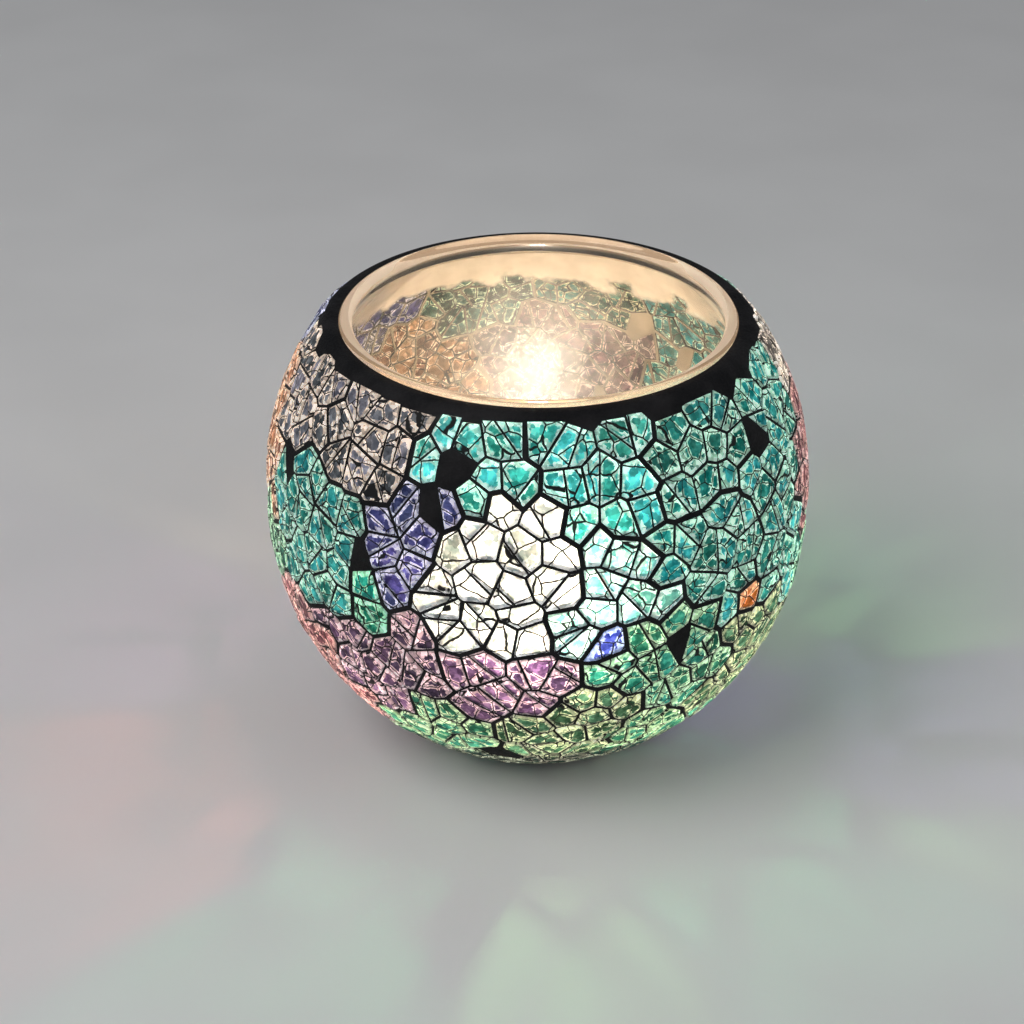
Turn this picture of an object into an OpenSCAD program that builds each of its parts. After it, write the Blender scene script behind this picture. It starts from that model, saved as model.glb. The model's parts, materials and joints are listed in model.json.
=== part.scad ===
// Crackle-mosaic tealight bowl.
// A blown glass bowl carries patches of crackled sheet glass, set in clear adhesive and grouted black.
// A tealight stands on its flat inner floor and lifts straight out through the mouth.
// +Z is up. The origin is the centre of the foot's underside, and the front faces -Y.

/* [Bowl] */
// Widest diameter, over the mosaic
body_d = 100; // [96:1:106]
// Height of the lower half-globe's centre above the table
centre_h = 45.4; // [45:0.1:46]
// Height of the straight belt between the two half-globes
belt_h = 5; // [3:0.5:7]
// Height of the rim above the table
rim_h = 83; // [82:0.5:84]
// Outer diameter of the rim
rim_d = 71.8; // [70:0.2:73]
// Thickness of the blown wall
wall = 2.2; // [1.8:0.1:2.6]
// Thickness of the glass under the tealight
floor_t = 5; // [4.5:0.5:6]
// Diameter of the flat foot
foot_d = 40; // [38:1:41]
// Height of the foot's straight side
foot_h = 3.5; // [3:0.5:4]
// Thickness of the fire-polished bead round the lip
lip_d = 2.6; // [2.4:0.1:2.8]

/* [Mosaic] */
// Thickness of the sheet glass
sheet_t = 2.4; // [2:0.1:2.6]
// Thickness of the adhesive under it
glue_t = 0.4; // [0.3:0.1:0.5]
// Typical width of one flat tile of crackled sheet
tile_w = 6; // [5.8:0.1:8]
// Gap between the tiles of one patch
tile_gap = 0.5; // [0.4:0.05:0.9]
// Gap between two patches
patch_gap = 0.9; // [0.8:0.1:2]
// Width of a crack through a tile
crack_w = 0.35; // [0.3:0.05:0.6]
// Area above which a piece of a tile cracks again, in square millimetres
crack_area = 31; // [30:1:50]
// How unevenly the tiles are laid, as a share of their width
unevenness = 0.42; // [0.2:0.01:0.45]
// Most that a tile leans out of true, in degrees
tile_lean = 2; // [0:0.5:2.5]
// Share of the shards that are missing, so that only grout shows
missing = 0.02; // [0:0.01:0.1]
// Number that picks the pattern of cracks
pattern = 11; // [1:1:99]

/* [Grout] */
// How far the grout lies below the faces of the tiles
grout_recess = 0.3; // [0.2:0.05:0.4]
// Radius that rolls the black band in to the rim
band_r = 3; // [2.5:0.5:3.5]
// Gap between the table and the grout's lower edge
grout_clearance = 0.8; // [0.6:0.1:1]

/* [Tealight] */
// Diameter of the aluminium cup
cup_d = 38; // [37.5:0.1:39]
// Height of the cup
cup_h = 16; // [14:0.5:17]
// Thickness of the cup's wall and base
cup_t = 0.4; // [0.3:0.05:0.5]
// Radius of the roll round the cup's edge
cup_roll = 0.6; // [0.5:0.05:0.7]
// Depth of wax in the cup
wax_h = 12.5; // [10:0.5:12.5]
// Depth of the melt pool's dish
pool_depth = 1; // [0.5:0.1:1.5]
// Diameter of the wick
wick_d = 1.8; // [1.6:0.1:2]
// Height of the wick above its tab
wick_h = 17; // [16:0.5:18]
// Diameter of the tab that holds the wick upright
tab_d = 15; // [13:0.5:16]
// Height of the tab's neck
neck_h = 3; // [2.5:0.5:4]

/* [Hidden] */
$fn = 96;
eps = 0.01;

body_r = body_d / 2;
shoulder_h = centre_h + belt_h;
lean_room = 0.12;                    // lets the back of a leaning tile clear the adhesive
seat_r = body_r - sheet_t - lean_room; // the adhesive's face, under the tiles
glass_r = seat_r - glue_t;           // the bowl's outside
inner_r = glass_r - wall;            // the bowl's inside
grout_r = body_r - grout_recess;
lip_r = rim_d / 2 - lip_d / 2;       // the bead's centre line
lip_h = rim_h - lip_d / 2;
band_top = lip_h + lip_d / 5;        // the black band ends on the bead
glue_top = rim_h - 3.5;              // the adhesive ends a little below the bead

// The sheet of each patch: name, colour, azimuth from the front in degrees (positive to the right),
// height above the equator along the wall in millimetres, and reach in millimetres. A tile belongs
// to the patch whose reach it is deepest in, and the tile nearest to a patch's place is always its own.
sheets = [
    ["lilac_patch_1", "thistle", -68, 32, 4],
    ["lilac_patch_2", "lightsteelblue", -41, 31, 4],
    ["teal_patch_1", "cadetblue", -51, 10, 4],
    ["emerald_patch", "mediumseagreen", -36, 2, -3],
    ["indigo_patch_1", "slateblue", -28, 17, 1],
    ["turquoise_patch_1", "mediumturquoise", -15, 35, 2],
    ["turquoise_patch_2", "turquoise", 12, 31, 4],
    ["ice_patch", "aliceblue", -8, 11, 6],
    ["aqua_patch", "paleturquoise", 15, 9, 2],
    ["mauve_patch_1", "mediumpurple", -36, -11, 3],
    ["mauve_patch_2", "plum", -10, -11, 1],
    ["cobalt_patch", "royalblue", 12, -5, -20],
    ["teal_patch_2", "darkturquoise", 40, 32, 4],
    ["teal_patch_3", "lightseagreen", 64, 27, 4],
    ["teal_patch_4", "darkcyan", 37, 11, 3],
    ["teal_patch_5", "teal", 58, 6, 2],
    ["amber_patch", "sandybrown", 46, -3, -20],
    ["sea_green_patch", "darkseagreen", 30, -10, 2],
    ["olive_patch_1", "darkkhaki", 54, -18, 3],
    ["fern_patch_1", "olivedrab", -20, -28, 3],
    ["olive_patch_2", "palegoldenrod", 8, -27, 3],
    ["fern_patch_2", "yellowgreen", 33, -34, 2],
    ["rose_patch_1", "rosybrown", 86, 14, 4],
    ["pearl_patch_1", "gainsboro", 97, 34, 2],
    ["rose_patch_2", "pink", -60, -20, 3],
    ["peach_patch_1", "peachpuff", -88, 16, 3],
    ["fir_patch_1", "seagreen", -84, -4, 2],
    ["indigo_patch_2", "mediumslateblue", -124, 27, 8],
    ["mauve_patch_3", "mediumorchid", -112, -20, 5],
    ["fir_patch_2", "darkolivegreen", -160, 31, 4],
    ["peach_patch_2", "navajowhite", -146, 2, 4],
    ["pearl_patch_2", "linen", -150, -24, 5],
    ["fern_patch_3", "forestgreen", 165, 31, 6],
    ["rose_patch_3", "lightpink", 172, 4, 5],
    ["sea_green_patch_2", "mediumaquamarine", 165, -26, 5],
    ["teal_patch_7", "aquamarine", 130, 27, 6],
    ["teal_patch_6", "steelblue", 130, 0, 5],
    ["olive_patch_3", "khaki", 124, -28, 5],
    ["fir_patch_3", "darkgreen", 88, -14, 4],
    ["indigo_patch_3", "darkslateblue", 84, -36, 2]
];

// ---- The wall's shape ----

// A point on the mosaic's face, s millimetres up the wall from the equator: radius, height and slope
function on_wall(s) =
    s < 0 ? let (a = s / body_r * 180 / PI) [body_r * cos(a), centre_h + body_r * sin(a), a]
    : s < belt_h ? [body_r, centre_h + s, 0]
    : let (a = (s - belt_h) / body_r * 180 / PI) [body_r * cos(a), shoulder_h + body_r * sin(a), a];

// The same point in space, at an azimuth measured from the front
function in_space(azimuth, s) =
    let (p = on_wall(s)) [p[0] * sin(azimuth), -p[0] * cos(azimuth), p[1]];

// Half the outline of a globe of radius r with the belt let in, as a filled half-profile
module globe_profile(r) {
    intersection() {
        union() {
            translate([0, centre_h]) circle(r);
            translate([0, shoulder_h]) circle(r);
            translate([-r, centre_h]) square([2 * r, belt_h]);
        }
        translate([0, centre_h - r - 1]) square([r + 1, 2 * r + belt_h + 2]);
    }
}

// The part of the first child between two heights
module between(low, high) {
    intersection() {
        children();
        translate([0, low]) square([body_r + 1, high - low]);
    }
}

// ---- Laying out the tiles ----

low_s = -52.5;                       // lower edge of the mosaic along the wall
high_s = 38;                         // upper edge
courses = round((high_s - low_s) / tile_w);
course_h = (high_s - low_s) / courses;
most_in_course = 64;                 // more than any course holds
draws = 12;                          // random numbers kept for each tile
noise = rands(0, 1, (courses + 2) * most_in_course * draws, pattern);

function draw(key, n) = noise[key * draws + n];
function spread(key, n) = 2 * draw(key, n) - 1;

// Azimuth, height along the wall, key to its random numbers, and whether it is outside the mosaic.
// A course of spare tiles above and below the mosaic gives its edges their shape.
tiles = [
    for (course = [-1 : courses])
        let (
            s = low_s + (course + 0.5) * course_h,
            count = round(2 * PI * on_wall(s)[0] / tile_w),
            step = 360 / count
        )
        for (i = [0 : count - 1])
            let (key = (course + 1) * most_in_course + i)
            [
                (i + course / 2 + unevenness * spread(key, 0)) * step,
                s + unevenness * spread(key, 1) * course_h,
                key,
                course < 0 || course == courses
            ]
];
places = [for (tile = tiles) in_space(tile[0], tile[1])];

// The tile nearest to each patch's place
sheet_places = [for (sheet = sheets) in_space(sheet[2], sheet[3])];
first_tiles = [
    for (sheet_place = sheet_places)
        let (distances = [
            for (t = [0 : len(tiles) - 1]) tiles[t][3] ? body_d : norm(places[t] - sheet_place)
        ])
        search(min(distances), distances)[0]
];

// The patch that each tile belongs to
function patch_of(t) =
    let (
        as_first = search(t, first_tiles),
        depths = [for (i = [0 : len(sheets) - 1]) norm(places[t] - sheet_places[i]) - sheets[i][4]]
    )
    len(as_first) > 0 ? as_first[0] : search(min(depths), depths)[0];
patches = [for (t = [0 : len(tiles) - 1]) patch_of(t)];

// ---- Breaking a tile into shards ----

// The part of a convex outline where p * n is no more than d
function clip(outline, n, d) = [
    for (i = [0 : 1 : len(outline) - 1])
        let (
            a = outline[i],
            b = outline[(i + 1) % len(outline)],
            a_in = d - a * n,
            b_in = d - b * n
        )
        each [
            if (a_in >= 0) a,
            if (a_in * b_in < 0) a + (b - a) * a_in / (a_in - b_in)
        ]
];

function clip_all(outline, cuts, i = 0) =
    i == len(cuts) ? outline : clip_all(clip(outline, cuts[i][0], cuts[i][1]), cuts, i + 1);

function area(outline) = let (n = len(outline)) n < 3 ? 0 : 0.5 * abs(
    [for (i = [0 : n - 1]) cross(outline[i], outline[(i + 1) % n])] * [for (i = [0 : n - 1]) 1]
);

function middle(outline) = [for (i = outline) 1] * outline / len(outline);

// The width of an outline across its narrowest side
function narrowest(outline) = min([
    for (i = [0 : len(outline) - 1])
        let (
            a = outline[i],
            along = outline[(i + 1) % len(outline)] - a,
            across = [-along[1], along[0]] / max(norm(along), eps)
        )
        max([for (p = outline) abs((p - a) * across)])
]);

// The outline without corners that sit almost on the one before
shortest_edge = 0.4;
function tidy(outline) = [
    for (i = [0 : 1 : len(outline) - 1])
        if (norm(outline[i] - outline[(i + len(outline) - 1) % len(outline)]) > shortest_edge) outline[i]
];

// Cracks an outline in two, and each half again while it is large. The cracks meet at odd angles.
most_cracks = 3;
function crack(outline, key, level = 0, angle = 0) =
    area(outline) < crack_area || level == most_cracks ? [outline]
    : let (
        turn = angle + 90 + 50 * spread(key, 2 + level),
        n = [cos(turn), sin(turn)],
        through = middle(outline) * n + spread(key, 5 + level)
    )
    concat(
        crack(clip(outline, n, through - crack_w / 2), key, level + 1, turn),
        crack(clip(outline, -n, -through - crack_w / 2), key, level + 1, turn + 25)
    );

// The directions right and down a tile's own plane
function tile_right(tile) = [cos(tile[0]), sin(tile[0]), 0];
function tile_down(tile) =
    let (a = on_wall(tile[1])[2]) [sin(a) * sin(tile[0]), -sin(a) * cos(tile[0]), -cos(a)];

// The outline of tile number t in its own plane: nearer to its own place than to any other's
reach = 2.4 * tile_w;
edge_wander = 1;                     // most that the mosaic's edges stray from a straight line
function tile_outline(t) =
    let (
        right = tile_right(tiles[t]),
        down = tile_down(tiles[t]),
        half = tile_w,
        wander = edge_wander * spread(tiles[t][2], 11),
        edges = [
            [[-1, 0], high_s - tiles[t][1] + wander],
            [[1, 0], tiles[t][1] - low_s + wander]
        ],
        cuts = [
            for (i = [0 : len(tiles) - 1])
                let (step = places[i] - places[t])
                if (i != t && abs(step[2]) < reach && norm(step) < reach)
                    let (
                        flat = [step * down, step * right],
                        gap = tiles[i][3] ? 0 : patches[i] == patches[t] ? tile_gap : patch_gap
                    )
                    [flat / norm(flat), norm(step) / 2 - gap / 2]
        ]
    )
    clip_all([[-half, -half], [half, -half], [half, half], [-half, half]], concat(edges, cuts));

smallest_shard = 3.5;                // area
narrowest_shard = 1.4;
function is_kept(shard) =
    len(shard) > 2 && area(shard) > smallest_shard && narrowest(shard) > narrowest_shard;

// Every shard of a tile that is kept. A patch's first tile is never missing.
function shards_of(t) =
    let (
        pieces = crack(tile_outline(t), tiles[t][2]),
        share = len(search(t, first_tiles)) > 0 ? 0 : missing
    )
    [
        for (i = [0 : len(pieces) - 1])
            let (shard = tidy(pieces[i]))
            if (draw(tiles[t][2], 8 + i % 4) >= share && is_kept(shard)) shard
    ];

// Blocks the shape of every shard of a tile, from low to high about the tile's face
module tile_blocks(t, low, high) {
    tile = tiles[t];
    wall_point = on_wall(tile[1]);
    rotate([0, 0, tile[0] - 90])
        translate([wall_point[0], 0, wall_point[1]])
            rotate([0, 90 - wall_point[2], 0])
                rotate([tile_lean * spread(tile[2], 9), tile_lean * spread(tile[2], 10), 0])
                    translate([0, 0, low])
                        for (shard = shards_of(t))
                            linear_extrude(high - low) polygon(shard);
}

// ---- Mosaic ----

// One patch of crackled sheet: every shard of the tiles that belong to it
module mosaic_patch(index) {
    color(sheets[index][1])
        for (t = [0 : len(tiles) - 1])
            if (patches[t] == index && !tiles[t][3]) tile_blocks(t, -sheet_t, 0);
}

module adhesive_coat() {
    color("wheat")
        rotate_extrude()
            difference() {
                between(grout_clearance, glue_top) globe_profile(seat_r);
                bowl_outside();
            }
}

// The grout's outside: the globe, rolled in to the rim at the top
module grout_outside() {
    roll_h = band_top - band_r;
    roll_x = sqrt(pow(grout_r - band_r, 2) - pow(roll_h - shoulder_h, 2));
    roll_slope = (roll_h - shoulder_h) / roll_x;
    intersection() {
        between(grout_clearance, band_top) globe_profile(grout_r);
        union() {
            translate([roll_x, roll_h]) circle(band_r);
            square([roll_x, band_top]);
            polygon([
                [0, 0],
                [body_r + 1, 0],
                [body_r + 1, shoulder_h + roll_slope * (body_r + 1)],
                [0, shoulder_h]
            ]);
        }
    }
}

// One piece: it runs between all the shards, and makes the smooth bands at the rim and the foot
module black_grout() {
    color([0.06, 0.06, 0.07])
        difference() {
            rotate_extrude()
                difference() {
                    grout_outside();
                    bowl_outside();
                    between(0, glue_top) globe_profile(seat_r);
                }
            for (t = [0 : len(tiles) - 1])
                if (!tiles[t][3]) tile_blocks(t, -1.5 * sheet_t, sheet_t);
        }
}

// ---- Bowl ----

wall_top = lip_h - lip_d / 4;

module lip_bead() {
    translate([lip_r, lip_h]) circle(lip_d / 2);
}

// The bowl as if it were solid glass
module bowl_outside() {
    between(0, lip_h) globe_profile(glass_r);
    square([foot_d / 2, foot_h]);
    translate([0, wall_top]) square([lip_r, lip_d]);
    lip_bead();
}

// The space in the bowl, and its mouth
module bowl_inside() {
    between(floor_t, wall_top) globe_profile(inner_r);
    difference() {
        translate([0, wall_top]) square([lip_r, lip_d]);
        lip_bead();
    }
}

module glass_bowl() {
    color("lightcyan", 0.5)
        rotate_extrude()
            difference() {
                bowl_outside();
                bowl_inside();
            }
}

// ---- Tealight ----

cup_r = cup_d / 2;
cup_fillet = 1;                      // rounds the cup's foot, outside
wax_floor = floor_t + cup_t;
tab_t = 0.3;
neck_t = 0.5;

module tealight_cup() {
    color("silver")
        rotate_extrude() {
            translate([0, floor_t]) square([cup_r - cup_fillet, cup_t]);
            translate([cup_r - cup_fillet, floor_t + cup_fillet])
                intersection() {
                    difference() {
                        circle(cup_fillet);
                        circle(cup_fillet - cup_t);
                    }
                    translate([0, -cup_fillet]) square(cup_fillet);
                }
            translate([cup_r - cup_t, floor_t + cup_fillet])
                square([cup_t, cup_h - cup_fillet - cup_roll]);
            translate([cup_r - cup_roll, floor_t + cup_h - cup_roll]) circle(cup_roll);
        }
}

module wick_tab() {
    color("gray")
        rotate_extrude() {
            translate([wick_d / 2, wax_floor]) square([tab_d / 2 - wick_d / 2, tab_t]);
            translate([wick_d / 2, wax_floor]) square([neck_t, neck_h]);
        }
}

module wick() {
    color("dimgray")
        translate([0, 0, wax_floor]) cylinder(h = wick_h, d = wick_d);
}

// The wax fills the cup, rounded at its foot as the cup is, and dips in a shallow pool round the wick
module wax_puck() {
    puck_r = cup_r - cup_t;
    pool_r = puck_r - 1;
    pool_globe = (pool_r * pool_r + pool_depth * pool_depth) / (2 * pool_depth);
    color("ivory")
        difference() {
            rotate_extrude() {
                translate([0, wax_floor]) square([cup_r - cup_fillet, wax_h]);
                translate([0, floor_t + cup_fillet]) square([puck_r, wax_h + cup_t - cup_fillet]);
                translate([cup_r - cup_fillet, floor_t + cup_fillet]) circle(cup_fillet - cup_t);
            }
            translate([0, 0, wax_floor + wax_h - pool_depth + pool_globe]) sphere(pool_globe);
            wick_tab();
            wick();
        }
}

glass_bowl();
adhesive_coat();
black_grout();
for (index = [0 : len(sheets) - 1])
    mosaic_patch(index);
tealight_cup();
wax_puck();
wick_tab();
wick();
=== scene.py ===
import json
import math
import random

import bmesh
import bpy
from mathutils import Matrix, Vector

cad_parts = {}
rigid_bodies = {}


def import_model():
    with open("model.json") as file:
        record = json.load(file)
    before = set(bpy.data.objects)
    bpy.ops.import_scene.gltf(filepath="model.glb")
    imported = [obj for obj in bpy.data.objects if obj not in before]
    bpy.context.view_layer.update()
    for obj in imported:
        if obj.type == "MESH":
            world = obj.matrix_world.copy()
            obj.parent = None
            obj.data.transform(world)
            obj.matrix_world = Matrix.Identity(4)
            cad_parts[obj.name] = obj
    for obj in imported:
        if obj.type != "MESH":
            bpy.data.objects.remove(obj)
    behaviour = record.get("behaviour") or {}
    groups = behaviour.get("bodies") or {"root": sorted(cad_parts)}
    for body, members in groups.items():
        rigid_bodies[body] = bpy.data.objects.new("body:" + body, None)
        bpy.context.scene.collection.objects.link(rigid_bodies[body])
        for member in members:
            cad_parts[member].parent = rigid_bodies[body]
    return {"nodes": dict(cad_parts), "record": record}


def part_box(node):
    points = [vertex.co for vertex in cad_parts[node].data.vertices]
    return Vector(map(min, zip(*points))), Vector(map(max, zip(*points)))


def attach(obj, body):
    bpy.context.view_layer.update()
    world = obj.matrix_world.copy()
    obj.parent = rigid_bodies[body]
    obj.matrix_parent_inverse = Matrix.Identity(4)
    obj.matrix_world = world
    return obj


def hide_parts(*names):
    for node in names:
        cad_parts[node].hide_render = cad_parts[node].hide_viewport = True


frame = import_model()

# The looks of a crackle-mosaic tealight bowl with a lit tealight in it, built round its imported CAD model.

MM = 0.001
UP = Vector((0, 0, 1))
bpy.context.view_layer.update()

# ---- Sizes, from the frame ----


def half_width(node):
    low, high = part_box(node)
    return (high.x - low.x) / 2


GLASS_R = half_width("glass_bowl")           # outside of the blown wall
SEAT_R = half_width("adhesive_coat")         # outside of the adhesive
RIM_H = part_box("glass_bowl")[1].z
GLUE_LOW, GLUE_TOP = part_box("adhesive_coat")[0].z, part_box("adhesive_coat")[1].z

# The belt between the two half-globes is where the bowl is at its widest
_belt = [
    v.co.z
    for v in frame["nodes"]["glass_bowl"].data.vertices
    if math.hypot(v.co.x, v.co.y) > GLASS_R - 0.01 * MM
]
CENTRE_H, SHOULDER_H = min(_belt), max(_belt)

WALL = 2.2 * MM
FLOOR_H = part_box("tealight_cup")[0].z        # the bowl's inner floor
FOOT_R = 20 * MM
FOOT_H = 3.5 * MM
LIP_T = 2.6 * MM                             # thickness of the bead round the lip
LIP_R = 35.9 * MM                            # its outer radius
CLEARANCE = 0.04 * MM                        # kept between faces that touch

# ---- Colours (linear) ----

CANDLE = (1.0, 0.86, 0.70)
WHITE = (1, 1, 1)

# Each family of sheet glass: its deep colour, the colour of its broken edges (also the colour
# of the glow painted on them), and how far apart its finer cracks are, in millimetres
SHEETS = {
    "lilac": ((0.16, 0.19, 0.26), (0.98, 0.89, 0.81), 3.4),
    "teal": ((0.012, 0.30, 0.33), (0.70, 0.90, 0.82), 2.9),
    "emerald": ((0.005, 0.33, 0.28), (0.62, 0.92, 0.78), 3.4),
    "indigo": ((0.06, 0.075, 0.25), (0.78, 0.80, 0.93), 3.4),
    "turquoise": ((0.07, 0.56, 0.58), (0.80, 0.99, 0.97), 4.6),
    "ice": ((0.66, 0.80, 0.86), (0.99, 1.0, 1.0), 4.8),
    "aqua": ((0.26, 0.68, 0.74), (0.86, 1.0, 1.0), 4.2),
    "mauve": ((0.085, 0.055, 0.13), (0.78, 0.67, 0.69), 3.2),
    "cobalt": ((0.02, 0.07, 0.26), (0.62, 0.74, 0.96), 4.0),
    "amber": ((0.45, 0.15, 0.03), (0.96, 0.80, 0.60), 3.4),
    "sea_green": ((0.02, 0.22, 0.20), (0.66, 0.77, 0.62), 3.0),
    "olive": ((0.045, 0.13, 0.09), (0.72, 0.70, 0.56), 3.1),
    "fern": ((0.02, 0.17, 0.14), (0.70, 0.73, 0.56), 2.9),
    "rose": ((0.14, 0.06, 0.09), (0.70, 0.58, 0.57), 3.0),
    "pearl": ((0.28, 0.28, 0.31), (0.98, 0.95, 0.91), 3.2),
    "peach": ((0.34, 0.19, 0.13), (0.97, 0.85, 0.74), 3.2),
    "fir": ((0.005, 0.10, 0.08), (0.72, 0.88, 0.74), 3.2),
}

# ---- Building materials ----


class Shading:
    """A material's node tree. Every call adds one node and gives its output socket."""

    def __init__(self, name):
        self.material = bpy.data.materials.new(name)
        self.material.use_nodes = True
        self.nodes = self.material.node_tree.nodes
        self.links = self.material.node_tree.links
        self.nodes.clear()

    def add(self, kind, output=0, inputs=None, **settings):
        node = self.nodes.new(kind)
        for name, value in settings.items():
            setattr(node, name, value)
        for name, value in (inputs or {}).items():
            if isinstance(value, bpy.types.NodeSocket):
                self.links.new(value, node.inputs[name])
            elif isinstance(value, tuple) and len(value) == 3 and node.inputs[name].type == "RGBA":
                node.inputs[name].default_value = (*value, 1)
            else:
                node.inputs[name].default_value = value
        return node.outputs[output]

    def place(self):
        return self.add("ShaderNodeTexCoord", "Object")

    def attribute(self, name):
        return self.add("ShaderNodeAttribute", "Fac", attribute_name=name)

    def maths(self, operation, a, b=0.0, clamp=False):
        return self.add("ShaderNodeMath", inputs={0: a, 1: b}, operation=operation, use_clamp=clamp)

    def noise(self, size, detail=2.0, roughness=0.5):
        """Noise whose lumps are about size metres across."""
        inputs = {"Vector": self.place(), "Scale": 1 / size, "Detail": detail, "Roughness": roughness}
        return self.add("ShaderNodeTexNoise", "Fac", inputs)

    def cells(self, size, vector=None):
        """Facets about size metres across, each with a random value from 0 to 1."""
        inputs = {"Vector": vector or self.place(), "Scale": 1 / size}
        random_colour = self.add("ShaderNodeTexVoronoi", "Color", inputs)
        return self.add("ShaderNodeSeparateColor", "Red", {0: random_colour})

    def fissures(self, size, vector=None):
        """How far a point is from the nearest crack of a crazed pattern, as a share of size."""
        inputs = {"Vector": vector or self.place(), "Scale": 1 / size}
        return self.add("ShaderNodeTexVoronoi", "Distance", inputs, feature="DISTANCE_TO_EDGE")

    def shaken(self, size, by):
        """The object's own coordinates, shaken by up to by metres with a wave of about size."""
        inputs = {"Vector": self.place(), "Scale": 1 / size, "Detail": 2.0}
        wave = self.add("ShaderNodeTexNoise", "Color", inputs)
        off = self.add("ShaderNodeVectorMath", inputs={0: wave, 1: (0.5, 0.5, 0.5)}, operation="SUBTRACT")
        off = self.add("ShaderNodeVectorMath", inputs={0: off, "Scale": 2 * by}, operation="SCALE")
        return self.add("ShaderNodeVectorMath", inputs={0: self.place(), 1: off}, operation="ADD")

    def ramp(self, value, low, high, to_low=0.0, to_high=1.0):
        """Value, from low to high, mapped smoothly to to_low to to_high."""
        inputs = {"Value": value, "From Min": low, "From Max": high, "To Min": to_low, "To Max": to_high}
        return self.add("ShaderNodeMapRange", "Result", inputs, interpolation_type="SMOOTHSTEP")

    def blend(self, factor, a, b, mode="MIX"):
        return self.add(
            "ShaderNodeMix", 2, {0: factor, 6: a, 7: b}, data_type="RGBA", blend_type=mode
        )

    def vary(self, colour, hue, value, saturation=1.0):
        inputs = {"Hue": hue, "Saturation": saturation, "Value": value, "Color": colour}
        return self.add("ShaderNodeHueSaturation", "Color", inputs)

    def bump(self, height, depth, strength=1.0):
        inputs = {"Height": height, "Distance": depth, "Strength": strength}
        return self.add("ShaderNodeBump", "Normal", inputs)

    def mix(self, factor, a, b):
        return self.add("ShaderNodeMixShader", inputs={0: factor, 1: a, 2: b})

    def also(self, a, b):
        return self.add("ShaderNodeAddShader", inputs={0: a, 1: b})

    def principled(self, **inputs):
        named = {name.replace("_", " ").title().replace("Ior", "IOR"): v for name, v in inputs.items()}
        return self.add("ShaderNodeBsdfPrincipled", inputs=named)

    def lets_light_by(self, surface, colour):
        """The surface as it is seen, which casts a tinted shadow and not a black one."""
        clear = self.add("ShaderNodeBsdfTransparent", inputs={"Color": colour})
        return self.mix(self.add("ShaderNodeLightPath", "Is Shadow Ray"), surface, clear)

    def done(self, surface):
        output = self.nodes.new("ShaderNodeOutputMaterial")
        self.links.new(surface, output.inputs["Surface"])
        return self.material


def scaled(colour, by):
    return tuple(min(1.0, c * by) for c in colour)


def toward(a, b, share):
    return tuple(x + (y - x) * share for x, y in zip(a, b))


def crackled_sheet(family):
    """Coloured sheet glass broken into crumbs: a deep glossy face, finer cracks, and pale broken edges with
    a painted glow on them.
    """
    s = Shading(f"{family}_glass")
    deep, pale, apart = SHEETS[family]
    shade = s.attribute("shade")
    uneven = s.shaken(1.5 * MM, 0.5 * MM)
    facets = s.cells(1.1 * MM, uneven)
    chips = s.cells(0.6 * MM)
    frost = s.noise(0.6 * MM, detail=4, roughness=0.6)
    clouds = s.noise(2.2 * MM, detail=3, roughness=0.6)
    crack = s.fissures(apart * MM, s.shaken(2.4 * MM, 0.35 * MM))
    open_crack = s.ramp(crack, 0.020, 0.036, 1.0, 0.0)
    beside_crack = s.ramp(crack, 0.06, 0.15, 0.62, 0.0)
    edge = s.maths("MAXIMUM", s.attribute("edge"), beside_crack)
    edge = s.maths("ADD", edge, s.ramp(facets, 0, 1, -0.30, 0.30))
    edge = s.maths("ADD", edge, s.ramp(frost, 0.3, 0.7, -0.10, 0.10))
    rim = s.ramp(edge, 0.44, 0.70)
    cloud = toward(scaled(deep, 1.5), WHITE, 0.06)
    inner = s.blend(s.ramp(clouds, 0.35, 0.7), scaled(deep, 0.7), cloud)
    face = s.vary(inner, s.ramp(shade, 0, 1, 0.478, 0.522), s.ramp(facets, 0, 1, 0.65, 1.4))
    face = s.vary(face, 0.5, s.ramp(shade, 0, 1, 0.6, 1.5))
    broken = s.vary(pale, 0.5, s.ramp(chips, 0, 1, 0.7, 1.25))
    tint = s.blend(rim, face, broken)
    relief = s.bump(s.maths("ADD", frost, s.maths("MULTIPLY", facets, 0.8)), 0.06 * MM, 0.5)
    glossy = s.principled(
        base_color=tint, roughness=0.16, coat_weight=0.5, coat_roughness=0.06, normal=relief
    )
    scatter = s.add("ShaderNodeBsdfTranslucent", inputs={"Color": tint})
    straight = s.add("ShaderNodeBsdfRefraction", inputs={"Color": tint, "Roughness": 0.75, "IOR": 1.3})
    through = s.mix(0.6, scatter, straight)
    # Painted glow: the broken edges give off pale light of their own, strongest on the chipped spots.
    painted_edge_glow_strength = s.maths("MULTIPLY", rim, s.ramp(chips, 0.35, 1.0, 0.03, 0.55))
    painted_glow = s.add("ShaderNodeEmission", inputs={"Color": pale, "Strength": painted_edge_glow_strength})
    body = s.also(s.mix(0.76, glossy, through), painted_glow)
    filled = s.principled(base_color=(0.010, 0.010, 0.011), roughness=0.7, specular_ior_level=0.2)
    body = s.mix(open_crack, body, filled)
    passed = toward(scaled(deep, 1 / max(deep)), WHITE, 0.42)
    return s.done(s.lets_light_by(body, passed))


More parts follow.
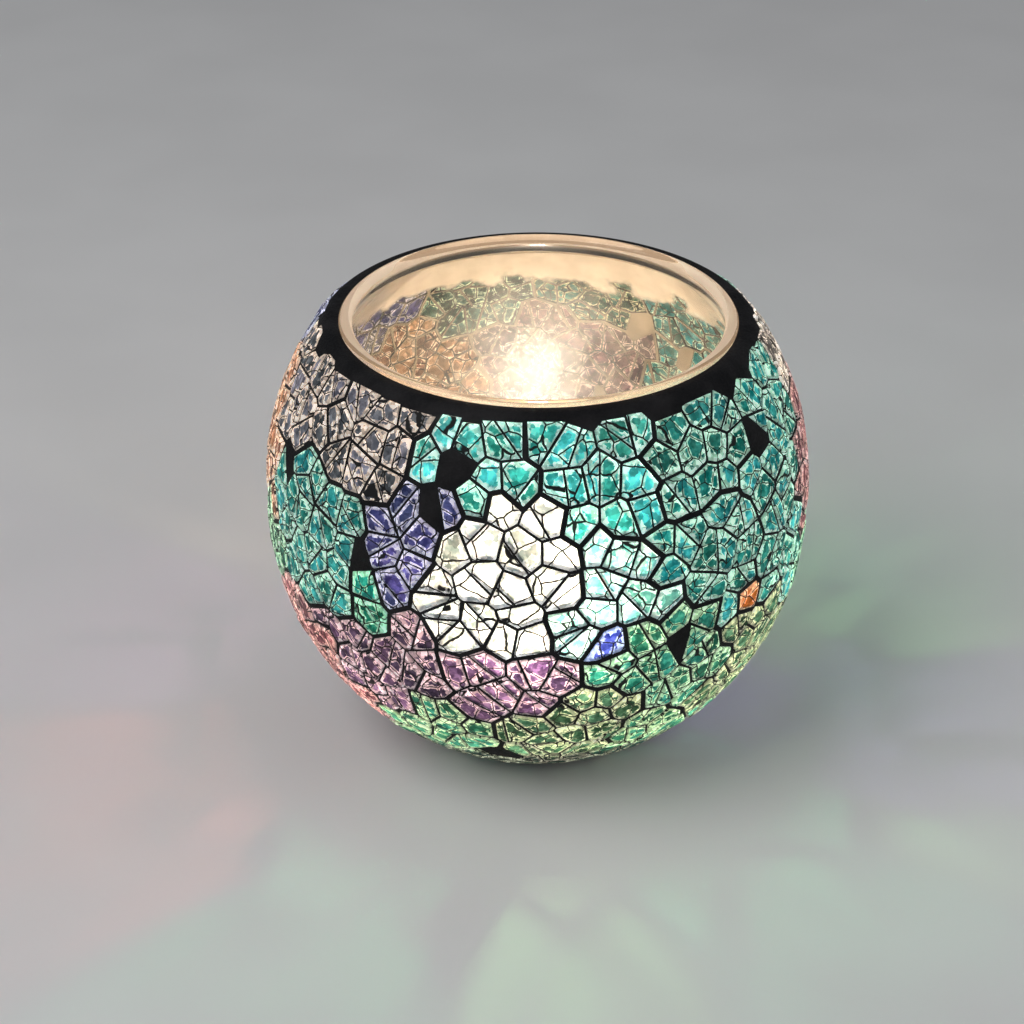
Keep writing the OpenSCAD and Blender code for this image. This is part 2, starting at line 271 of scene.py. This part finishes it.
def clear_glass():
    """Blown glass: polished at the lip, and etched a little by heat and soot on the wall inside, with a
    warm glow painted round the lip.
    """
    s = Shading("clear_glass")
    ripples = s.noise(9 * MM, detail=1)
    high = s.add("ShaderNodeSeparateXYZ", "Z", {0: s.place()})
    lip = s.ramp(high, RIM_H - 2.6 * MM, RIM_H - 1.2 * MM)
    relief = s.bump(ripples, 0.12 * MM, 0.5)
    straight = s.add(
        "ShaderNodeBsdfRefraction",
        inputs={"Color": (0.98, 0.97, 0.95), "Roughness": 0.0, "IOR": 1.5, "Normal": relief},
    )
    back = s.add(
        "ShaderNodeBsdfGlossy", inputs={"Roughness": s.ramp(lip, 0, 1, 0.30, 0.06), "Normal": relief}
    )
    glass = s.mix(s.add("ShaderNodeFresnel", inputs={"IOR": 1.30, "Normal": relief}), straight, back)
    # Painted glow: the lip gives off warm light of its own, standing in for candle light carried up through
    # the glass.
    strength = s.maths("MULTIPLY", lip, 0.28)
    painted_glow = s.add("ShaderNodeEmission", inputs={"Color": (1.0, 0.66, 0.40), "Strength": strength})
    return s.done(s.lets_light_by(s.also(glass, painted_glow), (0.97, 0.96, 0.94)))


def dried_adhesive():
    s = Shading("adhesive")
    smears = s.noise(5 * MM, detail=4)
    colour = s.blend(s.ramp(smears, 0.3, 0.7), (0.80, 0.72, 0.62), (0.66, 0.58, 0.48))
    solid = s.principled(base_color=colour, roughness=0.5)
    back_lit = s.add("ShaderNodeBsdfTranslucent", inputs={"Color": colour})
    milky = s.mix(0.4, solid, back_lit)
    clear = s.add("ShaderNodeBsdfTransparent", inputs={"Color": (1.0, 0.97, 0.92)})
    high = s.add("ShaderNodeSeparateXYZ", "Z", {0: s.place()})
    ragged = s.maths("ADD", high, s.ramp(s.noise(8 * MM, detail=3), 0.3, 0.7, -2.5 * MM, 2.5 * MM))
    thick = s.ramp(ragged, RIM_H - 13 * MM, RIM_H - 10 * MM, 1.0, 0.0)
    surface = s.mix(s.maths("MULTIPLY", thick, s.ramp(smears, 0.3, 0.7, 0.90, 1.0)), milky, clear)
    return s.done(s.lets_light_by(surface, (0.93, 0.89, 0.82)))


def black_cement():
    s = Shading("grout")
    sand = s.noise(0.5 * MM, detail=5, roughness=0.7)
    wipes = s.noise(7 * MM, detail=3)
    colour = s.blend(s.ramp(wipes, 0.35, 0.7), (0.006, 0.006, 0.007), (0.018, 0.017, 0.018))
    height = s.maths("ADD", sand, s.maths("MULTIPLY", wipes, 2.0))
    surface = s.principled(
        base_color=colour, roughness=s.ramp(sand, 0.3, 0.7, 0.62, 0.85), specular_ior_level=0.15,
        normal=s.bump(height, 0.10 * MM, 0.8),
    )
    return s.done(surface)


def squeezed_adhesive():
    """The adhesive that came up between the shards, seen from inside behind the glass."""
    s = Shading("squeezed_adhesive")
    smears = s.noise(4 * MM, detail=4)
    colour = s.blend(s.ramp(smears, 0.3, 0.7), (0.26, 0.24, 0.21), (0.16, 0.14, 0.12))
    return s.done(s.principled(base_color=colour, roughness=0.6))


def foil():
    s = Shading("aluminium")
    around = s.noise(14 * MM, detail=3)
    dents = s.noise(2.5 * MM, detail=2)
    colour = s.blend(s.ramp(around, 0.3, 0.7), (0.78, 0.78, 0.79), (0.86, 0.86, 0.86))
    surface = s.principled(
        base_color=colour, metallic=1.0, roughness=s.ramp(dents, 0.3, 0.7, 0.22, 0.36),
        normal=s.bump(dents, 0.05 * MM, 0.5),
    )
    return s.done(surface)


def paraffin():
    s = Shading("wax")
    place = s.place()
    flat = s.add("ShaderNodeVectorMath", inputs={0: place, 1: (1, 1, 0)}, operation="MULTIPLY")
    out = s.add("ShaderNodeVectorMath", "Value", inputs={0: flat}, operation="LENGTH")
    melt = s.ramp(out, 12 * MM, 14.5 * MM, 1.0, 0.0)
    mottle = s.noise(1.6 * MM, detail=4)
    colour = s.blend(melt, (0.86, 0.82, 0.72), (0.90, 0.80, 0.60))
    solid = s.principled(
        base_color=colour, roughness=s.ramp(melt, 0, 1, 0.5, 0.08), subsurface_weight=0.5,
        subsurface_radius=(0.004, 0.002, 0.001), normal=s.bump(mottle, 0.06 * MM, 0.4),
    )
    # Painted glow: the wax gives off warm light of its own, strongest beside the wick and fading towards
    # the cup.
    painted_glow = s.add(
        "ShaderNodeEmission",
        inputs={"Color": (1.0, 0.66, 0.34), "Strength": s.ramp(out, 1 * MM, 18 * MM, 0.5, 0.02)},
    )
    return s.done(s.also(solid, painted_glow))


def tinned_steel():
    s = Shading("steel")
    brushed = s.noise(0.8 * MM, detail=4)
    surface = s.principled(
        base_color=(0.55, 0.54, 0.53), metallic=1.0, roughness=s.ramp(brushed, 0.3, 0.7, 0.3, 0.5),
        normal=s.bump(brushed, 0.02 * MM, 0.4),
    )
    return s.done(surface)


def charred_cotton(low, high):
    """Waxed white cotton at the foot, charred black above, with an ember at the tip."""
    s = Shading("cotton")
    height = s.add("ShaderNodeSeparateXYZ", "Z", {0: s.place()})
    fibres = s.noise(0.25 * MM, detail=4)
    rise = s.add("ShaderNodeMapRange", "Result", {"Value": height, "From Min": low, "From Max": high})
    ragged = s.maths("ADD", rise, s.ramp(fibres, 0.3, 0.7, -0.08, 0.08))
    colour = s.blend(s.ramp(ragged, 0.35, 0.6), (0.66, 0.58, 0.44), (0.012, 0.010, 0.009))
    heat = s.ramp(ragged, 0.90, 1.0, 0.0, 4.0)
    ember = s.add("ShaderNodeEmission", inputs={"Color": (1.0, 0.16, 0.02), "Strength": heat})
    strands = s.principled(base_color=colour, roughness=0.9, normal=s.bump(fibres, 0.1 * MM, 0.8))
    return s.done(s.also(strands, ember))


def burning(low, high):
    """A candle flame: blue and faint at its foot, then orange, then near-white, clearer at its outline."""
    s = Shading("flame")
    height = s.add("ShaderNodeSeparateXYZ", "Z", {0: s.place()})
    rise = s.add("ShaderNodeMapRange", "Result", {"Value": height, "From Min": low, "From Max": high})
    lower = s.blend(s.ramp(rise, 0.0, 0.28), (0.10, 0.20, 1.0), (1.0, 0.42, 0.10))
    colour = s.blend(s.ramp(rise, 0.2, 0.6), lower, (1.0, 0.74, 0.36))
    strength = s.ramp(rise, 0.0, 0.4, 0.8, 9.0)
    light = s.add("ShaderNodeEmission", inputs={"Color": colour, "Strength": strength})
    clear = s.add("ShaderNodeBsdfTransparent")
    facing = s.add("ShaderNodeLayerWeight", "Facing", {"Blend": 0.35})
    return s.done(s.mix(s.ramp(facing, 0.35, 1.0, 0.0, 0.9), light, clear))


# ---- Building pieces ----


def piece(name, bm, material, body, nodes=(), sharp=None):
    """Makes an object of the mesh, rides it on its body, and lets it stand for its CAD nodes."""
    mesh = bpy.data.meshes.new(name)
    bm.to_mesh(mesh)
    bm.free()
    if sharp is not None:
        mesh.shade_smooth()
        mesh.set_sharp_from_angle(angle=math.radians(sharp))
    made = bpy.data.objects.new(name, mesh)
    bpy.context.scene.collection.objects.link(made)
    mesh.materials.append(material)
    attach(made, body)
    if nodes:
        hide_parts(*nodes)
    return made


def arc(x, z, r, start, end, steps):
    """Points of a half-profile: an arc about (x, z), its angles in degrees from outward towards up."""
    angles = [math.radians(start + (end - start) * i / steps) for i in range(steps + 1)]
    return [(x + r * math.cos(a), z + r * math.sin(a)) for a in angles]


def lathe(profile, segments, shape=None):
    """A closed body of revolution. The profile runs from axis to axis; shape may move each point."""
    bm = bmesh.new()
    rings = []
    for x, z in profile:
        if x < 1e-7:
            rings.append([bm.verts.new((0, 0, z))])
            continue
        ring = []
        for i in range(segments):
            turn = 2 * math.pi * i / segments
            r, h = shape(x, z, turn) if shape else (x, z)
            ring.append(bm.verts.new((r * math.cos(turn), r * math.sin(turn), h)))
        rings.append(ring)
    for a, b in zip(rings, rings[1:]):
        join_rings(bm, a, b)
    bmesh.ops.recalc_face_normals(bm, faces=bm.faces)
    return bm


def join_rings(bm, a, b):
    count = max(len(a), len(b))
    for i in range(count):
        corners = [a[i % len(a)], a[(i + 1) % len(a)], b[(i + 1) % len(b)], b[i % len(b)]]
        corners = list(dict.fromkeys(corners))
        if len(corners) > 2:
            bm.faces.new(corners)


def slope_at(r, z, centre):
    """The angle in degrees at which a globe of radius r about centre reaches height z."""
    return math.degrees(math.asin((z - centre) / r))


def make_bowl():
    """The blown bowl: ground foot, thick base, thin wall and a fire-polished bead round the lip."""
    outer = GLASS_R - CLEARANCE
    inner = GLASS_R - WALL
    bead = LIP_T / 2
    lip_x, lip_z = LIP_R - bead, RIM_H - bead
    neck_z = lip_z - 1.9 * MM
    foot_top = slope_at(outer, FOOT_H + 1.2 * MM, CENTRE_H)
    floor_round = 2.5 * MM
    floor_x = math.sqrt((inner - floor_round) ** 2 - (CENTRE_H - FLOOR_H - floor_round) ** 2)
    floor_turn = math.degrees(math.atan2(CENTRE_H - FLOOR_H - floor_round, floor_x))
    profile = [(0, 0), (FOOT_R * 0.5, 0)]
    profile += arc(FOOT_R - 0.8 * MM, 0.8 * MM, 0.8 * MM, -90, 0, 6)
    profile += [(FOOT_R - CLEARANCE, FOOT_H - 0.6 * MM)]
    profile += arc(0, CENTRE_H, outer, foot_top, 0, 48)
    profile += arc(0, SHOULDER_H, outer, 0, slope_at(outer, neck_z, SHOULDER_H), 32)
    profile += arc(lip_x, lip_z, bead - CLEARANCE, -30, 210, 20)
    profile += arc(0, SHOULDER_H, inner, slope_at(inner, neck_z, SHOULDER_H), 0, 32)
    profile += arc(0, CENTRE_H, inner, 0, -floor_turn, 48)
    profile += arc(floor_x, FLOOR_H + floor_round, floor_round, -floor_turn, -90, 6)[1:]
    profile += [(floor_x * 0.5, FLOOR_H), (0, FLOOR_H)]
    bowl = lathe(profile, 384)
    piece("blown_bowl", bowl, clear_glass(), "holder", ["glass_bowl"], sharp=50)


def make_adhesive():
    """The thin coat between the bowl and the mosaic, cut flat at top and foot."""
    outer, inner = SEAT_R - CLEARANCE, GLASS_R + CLEARANCE
    low, top = GLUE_LOW + 0.3 * MM, GLUE_TOP - 0.3 * MM
    outside = arc(0, CENTRE_H, outer, slope_at(outer, low, CENTRE_H), 0, 48)
    outside += arc(0, SHOULDER_H, outer, 0, slope_at(outer, top, SHOULDER_H), 32)
    inside = arc(0, SHOULDER_H, inner, slope_at(inner, top, SHOULDER_H), 0, 32)
    inside += arc(0, CENTRE_H, inner, 0, slope_at(inner, low, CENTRE_H), 48)
    ring = outside + inside
    bm = lathe(ring + ring[:1], 192)
    bmesh.ops.remove_doubles(bm, verts=bm.verts, dist=1e-7)
    piece("adhesive_layer", bm, dried_adhesive(), "holder", ["adhesive_coat"], sharp=40)


# ---- The mosaic ----


def outward(place):
    """The wall's direction outward at a place on it."""
    return (place - UP * min(max(place.z, CENTRE_H), SHOULDER_H)).normalized()


def shards_in(node):
    """The face of every shard in a CAD patch: its corners, its normal and its thickness."""
    bm = bmesh.new()
    bm.from_mesh(node.data)
    bmesh.ops.remove_doubles(bm, verts=bm.verts, dist=2e-6)
    bmesh.ops.dissolve_limit(bm, angle_limit=math.radians(1), verts=bm.verts, edges=bm.edges)
    bm.normal_update()
    found = []
    for top in bm.faces:
        if top.normal.dot(outward(top.calc_center_median())) < 0.9:
            continue
        beside = [v for edge in top.edges for side in edge.link_faces for v in side.verts]
        depth = max((top.verts[0].co - v.co).dot(top.normal) for v in beside)
        found.append(([v.co.copy() for v in top.verts], top.normal.copy(), depth))
    bm.free()
    found.sort(key=lambda shard: tuple(round(c, 5) for c in shard[0][0]))
    return found


GROUT_DEPTH = 0.34 * MM                      # where the grout meets a shard's side, below its face


def shard_rings(corners):
    """Points round a shard: its true outline, and the same with its corners worn round."""
    count = len(corners)
    sharp, worn = [], []
    for i, corner in enumerate(corners):
        after = corners[(i + 1) % count]
        before = corners[i - 1]
        nick = min(0.28, 0.7 * MM / max((after - corner).length, 1e-6))
        nick_back = min(0.28, 0.7 * MM / max((before - corner).length, 1e-6))
        cut = (corner.lerp(after, nick) + corner.lerp(before, nick_back)) / 2
        for j, step in enumerate((0, nick, 0.5, 1 - nick)):
            point = corner.lerp(after, step)
            sharp.append(point)
            worn.append(corner.lerp(cut, 0.75) if j == 0 else point)
    return sharp, worn


def add_shard(bm, corners, normal, depth, edge_layer, shade_layer, rng):
    """One shard: straight sides in the grout, a broken rim above it, and a slightly uneven face."""
    middle = sum(corners, Vector()) / len(corners)
    breadth = sum((c - middle).length for c in corners) / len(corners)
    pivot = middle.lerp(rng.choice(corners), rng.uniform(0.05, 0.4))
    lean = Matrix.Rotation(math.radians(rng.uniform(-1.6, 1.6)), 3, (corners[0] - middle).normalized())
    sink = rng.uniform(0, 0.10) * MM
    shade = rng.random()
    sharp, worn = shard_rings(corners)

    def ring(points, inset, below, edge, rough=0.0):
        """The points drawn in by inset, at below under the face. Edge is 1 where the glass is broken."""
        share = max(0.3, 1 - inset / breadth)
        made = []
        for point in points:
            place = pivot.lerp(point, share)
            place = place.lerp(pivot, rng.uniform(0, rough) * MM / breadth)
            if below < GROUT_DEPTH:
                place = middle + lean @ (place - middle) - normal * sink
            vert = bm.verts.new(place - normal * below)
            vert[edge_layer] = edge
            vert[shade_layer] = shade
            made.append(vert)
        return made

    rim = rng.uniform(0.45, 0.95) * MM
    rings = [
        ring(sharp, 0.8 * MM, depth - CLEARANCE, 0.2),
        ring(sharp, CLEARANCE * 2, depth - CLEARANCE, 0.9),
        ring(sharp, CLEARANCE * 2, GROUT_DEPTH, 1.0),
        ring(worn, 0.16 * MM, 0.12 * MM, 0.95, rough=0.12),
        ring(worn, rim, 0.015 * MM, 0.62, rough=0.25),
        ring(worn, rim + 0.7 * MM, 0, 0.12, rough=0.25),
    ]
    for a, b in zip(rings, rings[1:]):
        join_rings(bm, a, b)
    bm.faces.new(rings[0][::-1])
    bm.faces.new(rings[-1])


def make_patches():
    """Every patch of crackled sheet, from the outlines of its CAD shards."""
    materials = {}
    for row in frame["record"]["subparts"]:
        node, slot = row["node"], row["material_slot"]
        if "_patch" not in node:
            continue
        family = slot.removesuffix("_glass")
        if family not in materials:
            materials[family] = crackled_sheet(family)
        rng = random.Random(node)
        bm = bmesh.new()
        edge_layer = bm.verts.layers.float.new("edge")
        shade_layer = bm.verts.layers.float.new("shade")
        for corners, normal, depth in shards_in(frame["nodes"][node]):
            add_shard(bm, corners, normal, depth, edge_layer, shade_layer, rng)
        bmesh.ops.recalc_face_normals(bm, faces=bm.faces)
        piece(f"{node}_shards", bm, materials[family], "holder", [node])


def finish_grout():
    """The CAD grout keeps its shape: black outside, and cream where the adhesive backs on to it."""
    grout = frame["nodes"]["black_grout"].data
    grout.materials.clear()
    grout.materials.append(black_cement())
    grout.materials.append(squeezed_adhesive())
    for face in grout.polygons:
        place = face.center
        reach = (place - UP * min(max(place.z, CENTRE_H), SHOULDER_H)).length
        inward = face.normal.dot(outward(place)) < -0.5
        face.material_index = 1 if inward and reach < SEAT_R + 0.2 * MM else 0


# ---- The tealight ----

CUP_LOW, CUP_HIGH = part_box("tealight_cup")
CUP_R = CUP_HIGH.x
WAX_LOW, WAX_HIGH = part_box("wax_puck")
WICK_LOW, WICK_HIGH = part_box("wick")
WICK_R = WICK_HIGH.x
FLAME_LOW = WICK_HIGH.z - 2.5 * MM
FLAME_H = 17 * MM
FLAME_R = 3.4 * MM
FLAME_STEPS = 24
TEALIGHT_PIECES = ["foil_cup", "wax_fill", "braided_wick", "wick_tab"]
FLUTES = 60
FLUTE_DEPTH = 0.16 * MM


def make_cup():
    """The drawn cup: fluted side, rounded foot and a rolled edge."""
    low, top, thick, roll = CUP_LOW.z, CUP_HIGH.z, 0.25 * MM, 0.6 * MM
    outer = CUP_R - FLUTE_DEPTH
    profile = [(0, low + 0.35 * MM), (CUP_R * 0.6, low + 0.35 * MM)]
    profile += [(CUP_R * 0.66, low), (outer - 1.2 * MM, low)]
    profile += arc(outer - 1.2 * MM, low + 1.2 * MM, 1.2 * MM, -80, 0, 5)
    profile += [(outer, low + (top - low) * share) for share in (0.2, 0.4, 0.6, 0.8, 0.9)]
    profile += arc(CUP_R - roll, top - roll, roll, -50, 180, 12)
    inner = outer - thick
    profile += [(inner, low + (top - low) * share) for share in (0.9, 0.8, 0.6, 0.4, 0.2)]
    profile += [(inner - 0.9 * MM, low + 0.5 * MM), (0, low + 0.45 * MM)]

    def fluted(x, z, turn):
        share = (z - low) / (top - low)
        on_side = x > CUP_R * 0.93 and 0.12 < share < 0.93
        return (x + FLUTE_DEPTH * math.cos(FLUTES * turn), z) if on_side else (x, z)

    cup = lathe(profile, FLUTES * 6, fluted)
    piece("foil_cup", cup, foil(), "tealight", ["tealight_cup"], sharp=60)


def make_wax():
    """The wax, with a melt pool: it climbs a little at the wick and at the cup."""
    low, top = WAX_LOW.z + CLEARANCE, WAX_HIGH.z
    side = CUP_R - 0.5 * MM
    pool = top - 1.0 * MM
    profile = [(0, low), (side - 1.2 * MM, low), (side, low + 1.2 * MM), (side, top - 0.2 * MM)]
    profile += [(side - 0.5 * MM, top), (side - 1.6 * MM, top - 0.1 * MM)]
    profile += [(side - 3.0 * MM, top - 0.5 * MM)]
    profile += [(side - 4.2 * MM, pool), (side * 0.5, pool), (WICK_R + 1.2 * MM, pool + 0.03 * MM)]
    profile += [(WICK_R + 0.4 * MM, pool + 0.25 * MM), (WICK_R, pool + 0.6 * MM), (0, pool + 0.6 * MM)]

    def uneven(x, z, turn):
        near_edge = z > top - 0.6 * MM and x > side * 0.7
        wave = math.sin(3 * turn + 0.7) + 0.6 * math.sin(7 * turn + 2.1)
        return (x + (0.25 * MM * wave if near_edge and x < side - 1 * MM else 0), z)

    piece("wax_fill", lathe(profile, 128, uneven), paraffin(), "tealight", ["wax_puck"], sharp=40)


def make_wick():
    """Three twisted strands, upright in the wax and bent over at the burnt tip."""
    bm = bmesh.new()
    rings, around = 64, 18
    low, high = WICK_LOW.z, WICK_HIGH.z
    made = []
    for i in range(rings + 1):
        share = i / rings
        z = low + (high - low) * share
        bend = max(0, share - 0.72) / 0.28
        middle = Vector((1.6 * MM * bend**2, -0.5 * MM * bend**2, z))
        swell = WICK_R * (0.86 - 0.30 * max(0, share - 0.92) / 0.08)
        ring = []
        for j in range(around):
            turn = 2 * math.pi * j / around
            strand = 0.90 + 0.12 * math.cos(3 * (turn - 9 * share * math.pi))
            ring.append(bm.verts.new(middle + Vector((math.cos(turn), math.sin(turn), 0)) * swell * strand))
        made.append(ring)
    for a, b in zip(made, made[1:]):
        join_rings(bm, a, b)
    bm.faces.new(made[0][::-1])
    bm.faces.new(made[-1])
    bmesh.ops.recalc_face_normals(bm, faces=bm.faces)
    piece("braided_wick", bm, charred_cotton(low, high), "tealight", ["wick"], sharp=70)


# The flame is so near its own wax and foil that it lights them through a weaker lamp of its own.
# Each lamp: its name, its power in watts, and whether it skips the tealight or lights it alone
CANDLE_LAMPS = [("candle_light", 0.21, "EXCLUDE"), ("candle_glow", 0.006, "INCLUDE")]
CANDLE_LAMP_R = 3.0 * MM


def make_flame():
    """The flame and the light that it gives. Both ride with the tealight."""
    profile = []
    for i in range(FLAME_STEPS + 1):
        share = i / FLAME_STEPS
        width = math.sin(math.pi * share**0.62) ** 0.9 * (1 - 0.25 * share)
        profile.append((FLAME_R * width if 0 < i < FLAME_STEPS else 0, FLAME_LOW + FLAME_H * share))
    material = burning(FLAME_LOW, FLAME_LOW + FLAME_H)
    flame = piece("candle_flame", lathe(profile, 40), material, "tealight", sharp=60)
    flame.visible_diffuse = False
    flame.visible_glossy = False
    flame.visible_transmission = False
    flame.visible_shadow = False
    candle = [made for made in bpy.data.objects if made.name in TEALIGHT_PIECES]
    for name, power, state in CANDLE_LAMPS:
        lamp = bpy.data.lights.new(name, "POINT")
        lamp.energy = power
        lamp.color = CANDLE
        lamp.shadow_soft_size = CANDLE_LAMP_R
        light = bpy.data.objects.new(name, lamp)
        light.location = (0, 0, FLAME_LOW + 0.5 * FLAME_H)
        bpy.context.scene.collection.objects.link(light)
        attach(light, "tealight")
        lit = bpy.data.collections.new(f"{name}_receivers")
        light.light_linking.receiver_collection = lit
        for made in candle:
            lit.objects.link(made)
        for entry in lit.collection_objects:
            entry.light_linking.link_state = state


# ---- Stage ----


def make_floor():
    s = Shading("pale_floor")
    grain = s.noise(1.2 * MM, detail=4)
    patches = s.noise(60 * MM, detail=2)
    colour = s.blend(s.ramp(patches, 0.3, 0.7), (0.78, 0.77, 0.76), (0.82, 0.81, 0.80))
    floor = s.done(s.principled(base_color=colour, roughness=0.42, normal=s.bump(grain, 0.03 * MM, 0.3)))
    bm = bmesh.new()
    bmesh.ops.create_grid(bm, x_segments=4, y_segments=4, size=3.0)
    mesh = bpy.data.meshes.new("floor")
    bm.to_mesh(mesh)
    bm.free()
    mesh.materials.append(floor)
    made = bpy.data.objects.new("floor", mesh)
    bpy.context.scene.collection.objects.link(made)


# Each lamp: its name, its place and its size in metres, and its power in watts
STUDIO_LAMPS = [
    ("key", (-0.55, -0.35, 0.80), 0.7, 4.8),
    ("fill", (0.75, -0.30, 0.60), 0.9, 1.8),
]


def make_lights():
    world = bpy.data.worlds.new("studio")
    world.use_nodes = True
    background = world.node_tree.nodes["Background"]
    background.inputs["Color"].default_value = (0.80, 0.84, 0.90, 1)
    background.inputs["Strength"].default_value = 0.20
    bpy.context.scene.world = world
    for name, place, size, power in STUDIO_LAMPS:
        lamp = bpy.data.lights.new(name, "AREA")
        lamp.size = size
        lamp.energy = power
        light = bpy.data.objects.new(name, lamp)
        light.location = place
        aim = Vector((0, 0, 0.04)) - Vector(place)
        light.rotation_euler = aim.to_track_quat("-Z", "Y").to_euler()
        bpy.context.scene.collection.objects.link(light)


CAMERA_DISTANCE = 0.450
CAMERA_ELEVATION = math.radians(29.96)
CAMERA_LEFT = 4.75 * MM                      # the bowl stands right of the picture's middle
CAMERA_DROP = 3.3 * MM                       # and above it
SENSOR = 36                                  # millimetres
LENS = 84.7                                  # millimetres


def make_camera():
    """At the photograph's angle, from a little above the rim."""
    away = Vector((0, -math.cos(CAMERA_ELEVATION), math.sin(CAMERA_ELEVATION)))
    down = Vector((0, -math.sin(CAMERA_ELEVATION), -math.cos(CAMERA_ELEVATION)))
    target = Vector((-CAMERA_LEFT, 0, CENTRE_H)) + CAMERA_DROP * down
    camera = bpy.data.cameras.new("camera")
    camera.lens = LENS
    camera.sensor_width = SENSOR
    camera.clip_start = 0.01
    made = bpy.data.objects.new("camera", camera)
    made.location = target + away * CAMERA_DISTANCE
    made.rotation_euler = (-away).to_track_quat("-Z", "Y").to_euler()
    bpy.context.scene.collection.objects.link(made)
    bpy.context.scene.camera = made


make_camera()
make_bowl()
make_adhesive()
make_patches()
finish_grout()
make_cup()
make_wax()
make_wick()
frame["nodes"]["wick_tab"].data.materials.clear()
frame["nodes"]["wick_tab"].data.materials.append(tinned_steel())
make_flame()
make_floor()
make_lights()

bpy.context.scene.view_settings.view_transform = "Standard"
bpy.context.scene.cycles.transparent_max_bounces = 16
